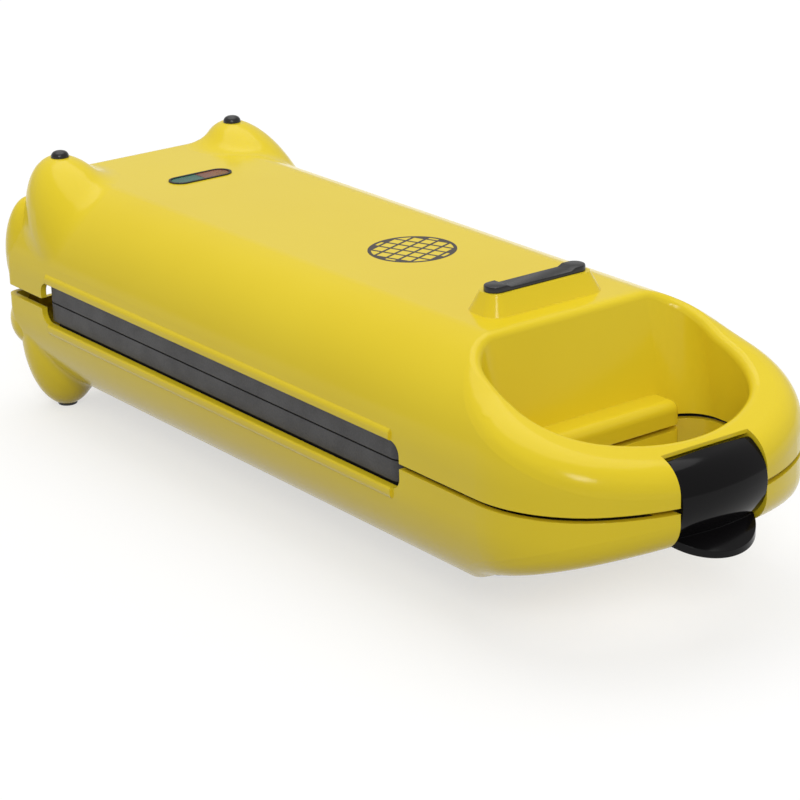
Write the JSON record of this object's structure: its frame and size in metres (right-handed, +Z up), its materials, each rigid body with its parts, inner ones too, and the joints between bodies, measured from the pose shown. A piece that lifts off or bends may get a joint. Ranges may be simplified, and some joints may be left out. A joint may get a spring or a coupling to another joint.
{
  "type": "waffle maker",
  "caption": "Countertop clam-shell waffle maker: domed lid and base on a rear hinge, grid baking plates inside, a hand hole at the front and a latch on the nose.",
  "frame": {"origin": "on the table under the middle of the closed appliance", "axes": "+Z up from the table, +Y from the nose with the latch to the hinge, +X to the right seen from the nose"},
  "size_m": [0.1378, 0.4, 0.1147],
  "materials": {
    "yellow_plastic": "glossy injection-moulded plastic",
    "coated_aluminium": "cast aluminium with a dark non-stick coating",
    "black_plastic": "glossy black plastic",
    "dark_rubber": "soft matt rubber",
    "steel": "zinc-plated steel",
    "sheet_steel": "bare sheet steel",
    "element_steel": "heat-darkened steel tube",
    "green_lens": "translucent green plastic",
    "red_lens": "translucent red-brown plastic",
    "lamp_glass": "clear glass",
    "black_trim": "satin black plastic",
    "white_insulator": "matt white insulating plastic"
  },
  "bodies": {
    "base": {"base_shell": "yellow_plastic", "base_handle_cover": "black_trim", "base_baking_plate": "coated_aluminium", "base_heating_element": "element_steel", "base_heat_shield": "sheet_steel", "base_thermal_fuse": "white_insulator", "base_foot_strip": "dark_rubber", "base_rear_feet": "dark_rubber", "base_plate_screws": "steel", "base_cover_screws": "steel", "base_hinge_brackets": "steel", "base_hinge_screws": "steel", "terminal_block": "white_insulator", "cord_gland": "black_trim"},
    "lid": {"lid_shell": "yellow_plastic", "lid_handle_cover": "black_trim", "lid_baking_plate": "coated_aluminium", "lid_heating_element": "element_steel", "lid_heat_shield": "sheet_steel", "lid_thermal_fuse": "white_insulator", "lid_foot_strip": "dark_rubber", "lid_horn_tips": "dark_rubber", "lid_plate_screws": "steel", "lid_cover_screws": "steel", "lid_hinge_brackets": "steel", "lid_hinge_screws": "steel", "hinge_pins": "steel", "indicator_bezel": "black_trim", "green_lens": "green_lens", "red_lens": "red_lens", "lamp_holder": "white_insulator", "lamp_holder_screws": "steel", "glow_lamps": "lamp_glass", "thermostat": "white_insulator", "latch_pin": "steel"},
    "latch": {"latch": "black_plastic"}
  },
  "joints": [
    {"name": "lid_hinge", "type": "hinge", "parent": "base", "child": "lid", "pos_m": [0, 0.191, 0.0621], "axis": [-1, 0, 0], "range_deg": [0, 95]},
    {"name": "latch_pivot", "type": "hinge", "parent": "lid", "child": "latch", "pos_m": [0, -0.1845, 0.0676], "axis": [-1, 0, 0], "range_deg": [0, 60]}
  ]
}
